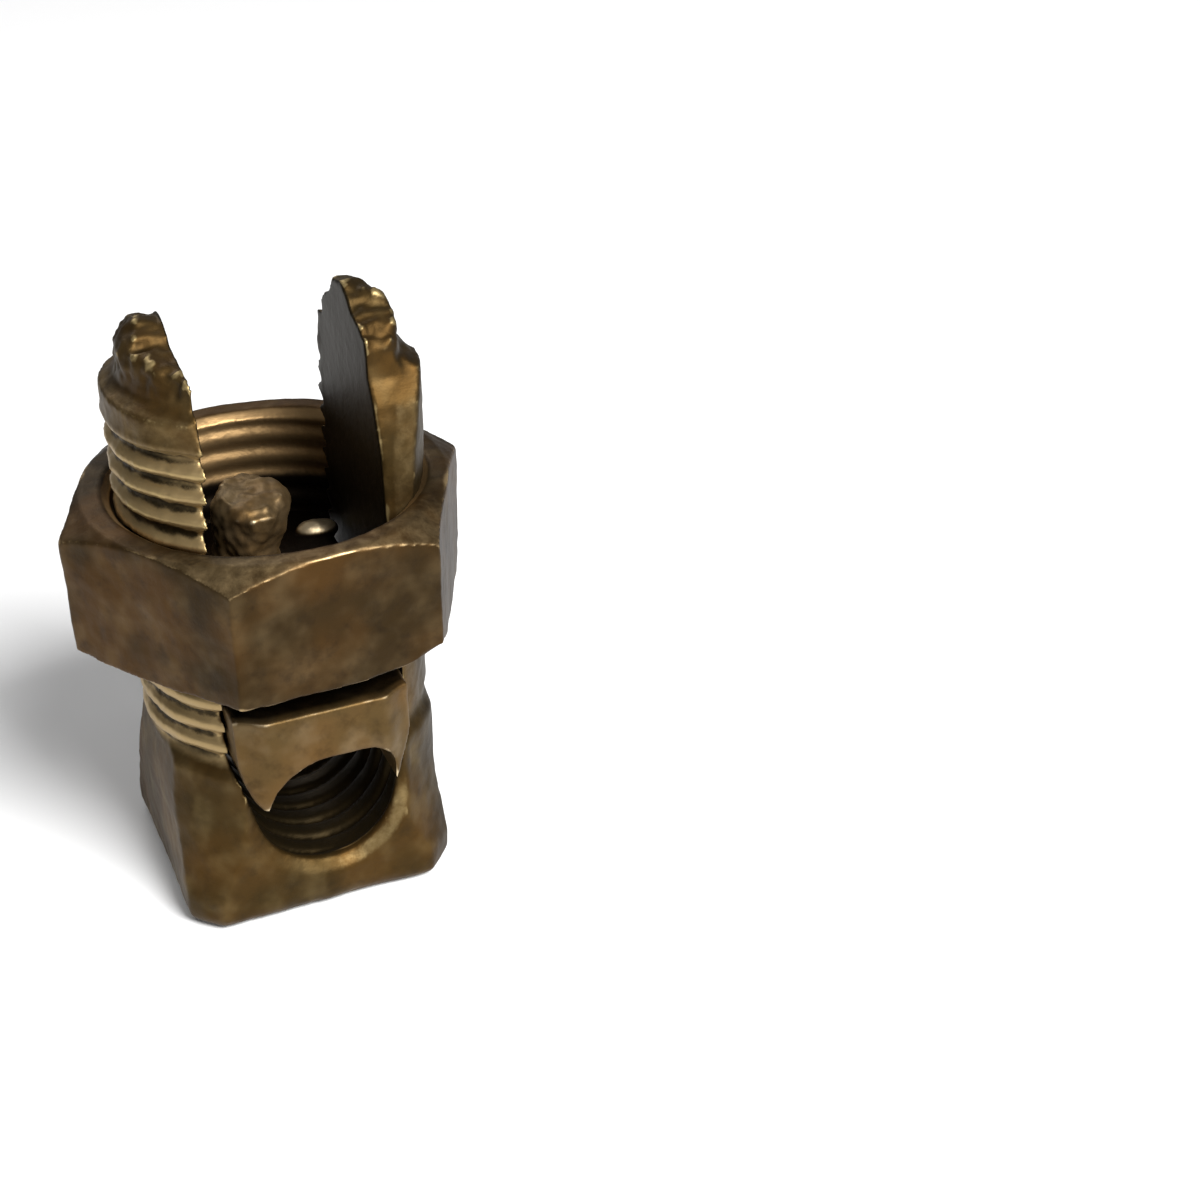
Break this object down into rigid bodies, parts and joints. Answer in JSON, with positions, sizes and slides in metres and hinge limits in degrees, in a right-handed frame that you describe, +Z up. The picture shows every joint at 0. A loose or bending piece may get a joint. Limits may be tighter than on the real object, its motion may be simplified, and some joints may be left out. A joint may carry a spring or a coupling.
{
  "type": "split bolt connector",
  "caption": "Split bolt wire connector: a slotted cast bolt standing on its square head, a sliding pressure bar and a hexagon nut that clamps wires in the slot.",
  "frame": {"origin": "centre of the bounding box's bottom, under the middle of the square head that the connector stands on", "axes": "+Z up along the bolt's axis, +Y along the wires that pass through the slot, +X across the slot from one leg to the other; the picture's viewer stands on the -Y side"},
  "size_m": [0.0252, 0.0232, 0.0372],
  "materials": {
    "bolt_bronze": "aged cast bronze with worn bright thread crests",
    "bar_bronze": "light tan, rough as cast",
    "nut_bronze": "dark brown patina over sand-cast bronze"
  },
  "bodies": {
    "bolt": {"split_bolt": "bolt_bronze"},
    "bar": {"pressure_bar": "bar_bronze"},
    "nut": {"hex_nut": "nut_bronze"}
  },
  "joints": [
    {"name": "bar_slide", "type": "slide", "parent": "bolt", "child": "bar", "axis": [0, 0, 1], "range_m": [0, 0.0075]},
    {"name": "nut_spin", "type": "hinge", "parent": "bar", "child": "nut", "pos_m": [0, 0, 0.0217], "axis": [0, 0, 1], "range_deg": [0, 1795]}
  ],
  "couplings": [
    {"joint": "bar_slide", "follows": "nut_spin", "m_per_rad": 0.00023873}
  ]
}
